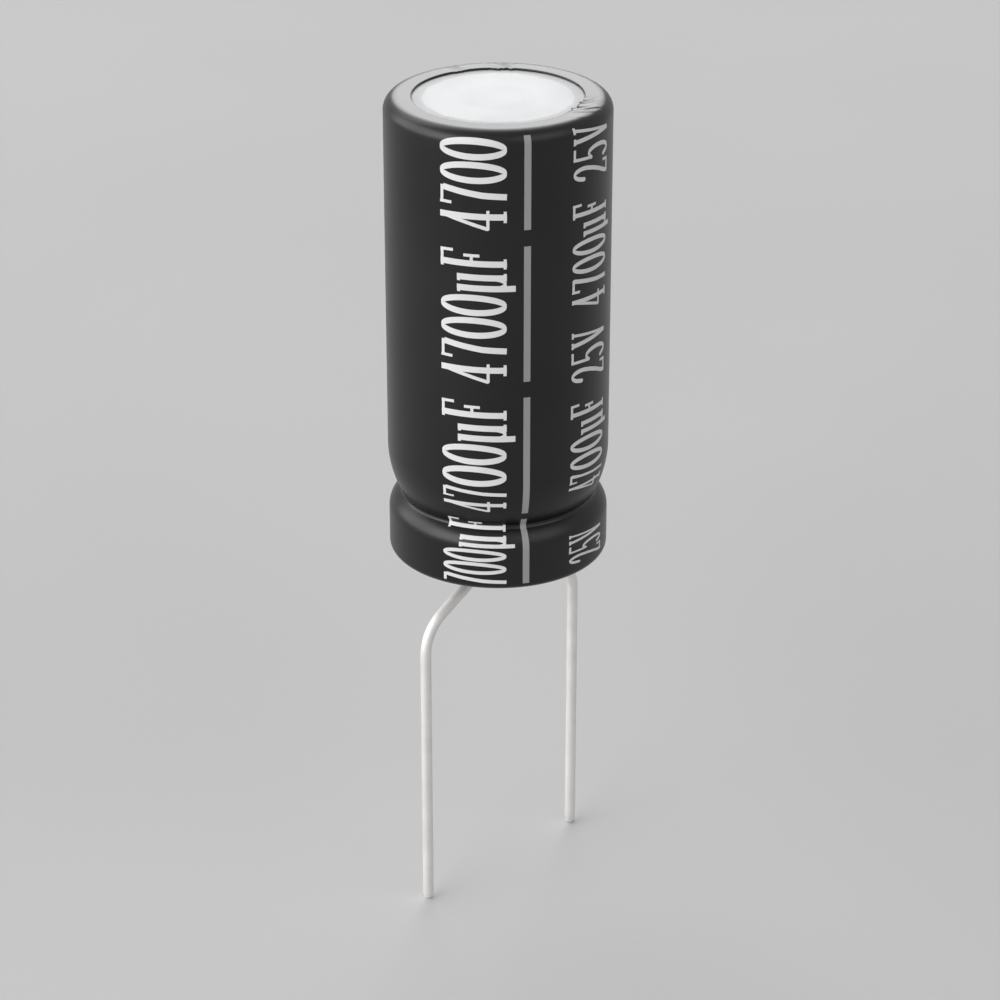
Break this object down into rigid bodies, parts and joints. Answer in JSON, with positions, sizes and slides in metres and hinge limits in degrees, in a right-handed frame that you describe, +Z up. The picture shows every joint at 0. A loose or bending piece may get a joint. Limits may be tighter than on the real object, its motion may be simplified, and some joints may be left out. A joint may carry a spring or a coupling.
{
  "type": "electrolytic capacitor",
  "caption": "Radial electrolytic capacitor: a sleeved aluminium can, rolled in over a rubber end seal, with formed wire leads for a circuit board.",
  "frame": {"origin": "Centre of the seating plane, which is the underside of the sleeve's foot lip.", "axes": "+Z up along the can from the seating plane; the leads lie in the XZ plane, the cathode at -X, on the printed line's side, and the anode at +X."},
  "size_m": [0.0164, 0.016, 0.062],
  "materials": {
    "sleeve_film": "satin black shrink film",
    "can_aluminium": "drawn, bright",
    "seal_rubber": "moulded, matt",
    "winding_paper": "soaked paper and foil edges",
    "closing_tape": "clear film tape",
    "tab_aluminium": "forged, dull",
    "tinned_wire": "bright tin plate",
    "print_ink": "thin printed ink"
  },
  "bodies": {
    "root": {"sleeve": "sleeve_film", "can": "can_aluminium", "rubber_bung": "seal_rubber", "wound_element": "winding_paper", "element_tape": "closing_tape", "anode_tab": "tab_aluminium", "cathode_tab": "tab_aluminium", "anode_lead": "tinned_wire", "cathode_lead": "tinned_wire", "polarity_dashes": "print_ink"}
  },
  "joints": []
}
